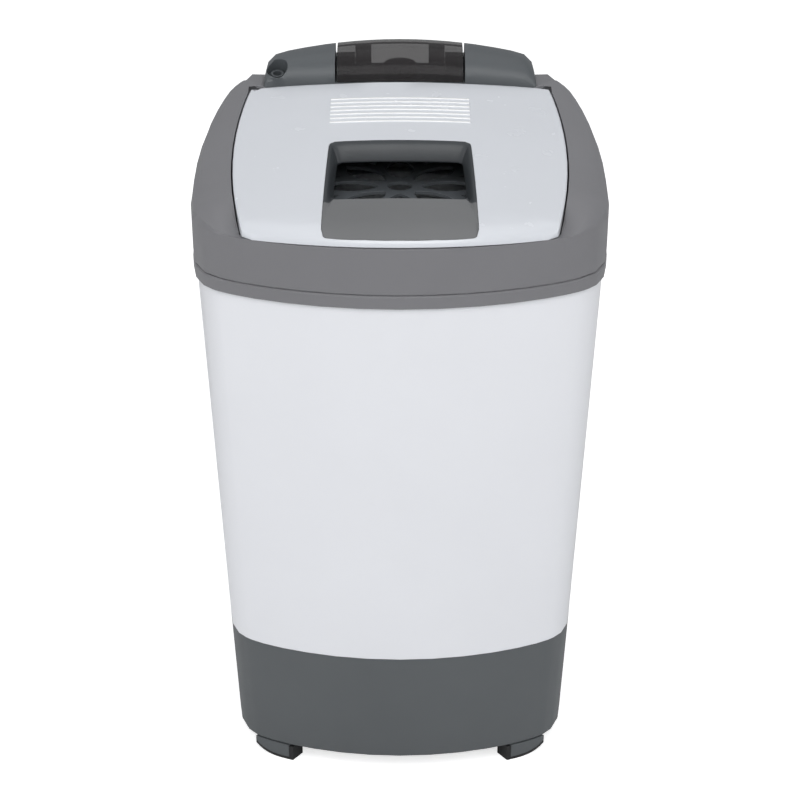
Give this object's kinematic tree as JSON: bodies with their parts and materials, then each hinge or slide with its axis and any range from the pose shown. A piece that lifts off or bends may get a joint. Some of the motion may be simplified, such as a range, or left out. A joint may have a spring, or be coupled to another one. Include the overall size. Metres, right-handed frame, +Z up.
{
  "type": "laundry spin dryer",
  "caption": "Tall portable spin dryer with a bowed tapering cabinet, a hinged crowned lid with a finger window, and a rear console with a timer under a flip cover.",
  "frame": {"origin": "on the floor, under the middle of the cabinet's width and depth", "axes": "+Z up, +Y towards the back with the console, +X to the right seen from the front"},
  "size_m": [0.3482, 0.336, 0.5945],
  "materials": {
    "white_plastic": "smooth satin white",
    "collar_grey": "fine satin mid grey",
    "console_grey": "fine satin blue grey",
    "base_grey": "fine matt dark grey",
    "insert_grey": "satin grey",
    "smoked_clear": "smoked transparent",
    "knob_grey": "satin",
    "dark_plastic": "matt",
    "tub_plastic": "natural satin",
    "red_plastic": "gloss",
    "black_rubber": "matt",
    "stainless": "brushed",
    "plain_steel": "turned",
    "aluminium": "cast",
    "zinc_plate": "zinc plated sheet",
    "copper_winding": "enamelled wire",
    "cast_iron": "turned rim"
  },
  "bodies": {
    "cabinet": {"base_housing": "base_grey", "bottom_plate": "base_grey", "foot_pad_front_left": "black_rubber", "foot_pad_front_right": "black_rubber", "foot_pad_rear_left": "black_rubber", "foot_pad_rear_right": "black_rubber", "cord_gland": "black_rubber", "body_shell": "white_plastic", "rim_band": "collar_grey", "collar": "collar_grey", "console_housing": "console_grey", "dial_plate": "console_grey", "timer_unit": "dark_plastic", "cover_hinge_pins": "plain_steel", "rinse_inlet": "dark_plastic", "lid_hinge_pins": "plain_steel", "lid_switch": "tub_plastic", "inner_cover_bracket": "dark_plastic", "inner_cover_pin": "plain_steel", "outer_tub": "tub_plastic", "tub_seal": "black_rubber", "drain_spout": "dark_plastic", "motor_stator": "copper_winding", "motor_casing": "zinc_plate", "motor_bolts": "plain_steel", "motor_bearings": "plain_steel", "motor_plate": "zinc_plate", "suspension_mounts": "black_rubber", "capacitor": "aluminium", "brake_bracket": "zinc_plate", "brake_cable": "black_rubber", "cabinet_screws": "plain_steel"},
    "lid": {"lid_panel": "white_plastic", "lid_liner": "white_plastic", "lid_handle": "insert_grey"},
    "safety_cover": {"inner_cover": "dark_plastic"},
    "console_cover": {"timer_cover": "smoked_clear"},
    "knob": {"timer_knob": "knob_grey"},
    "spinner": {"spin_basket": "stainless", "balance_ring": "tub_plastic", "basket_hub": "aluminium", "hub_nut": "plain_steel", "drive_shaft": "plain_steel", "motor_rotor": "plain_steel", "brake_drum": "cast_iron"},
    "brake": {"brake_lever": "zinc_plate", "brake_pad": "black_rubber"},
    "plunger": {"switch_plunger": "red_plastic"}
  },
  "joints": [
    {"name": "lid_hinge", "type": "hinge", "parent": "cabinet", "child": "lid", "pos_m": [0, 0.093, 0.55781], "axis": [-1, 0, 0], "range_deg": [0, 95]},
    {"name": "inner_cover_hinge", "type": "hinge", "parent": "cabinet", "child": "safety_cover", "pos_m": [0, 0.1043, 0.5166], "axis": [-1, 0, 0], "range_deg": [0, 57]},
    {"name": "timer_cover_hinge", "type": "hinge", "parent": "cabinet", "child": "console_cover", "pos_m": [0, 0.1495, 0.576], "axis": [-1, 0, 0], "range_deg": [0, 95]},
    {"name": "timer_knob_turn", "type": "hinge", "parent": "cabinet", "child": "knob", "pos_m": [0, 0.133, 0.57], "axis": [0, 0, -1], "range_deg": [0, 300]},
    {"name": "basket_spin", "type": "hinge", "parent": "cabinet", "child": "spinner", "pos_m": [0, -0.01, 0.2], "axis": [0, 0, 1], "continuous": true},
    {"name": "brake_lever_hinge", "type": "hinge", "parent": "cabinet", "child": "brake", "pos_m": [0.07, -0.044, 0.155], "axis": [0, 0, 1], "range_deg": [0, 1.25]},
    {"name": "switch_plunger_slide", "type": "slide", "parent": "cabinet", "child": "plunger", "axis": [0, 0, 1], "range_m": [0, 0.003]}
  ],
  "couplings": [
    {"joint": "inner_cover_hinge", "follows": "lid_hinge", "ratio": 0.6},
    {"joint": "brake_lever_hinge", "follows": "lid_hinge", "ratio": 0.013158},
    {"joint": "switch_plunger_slide", "follows": "lid_hinge", "m_per_rad": 0.0018093}
  ]
}
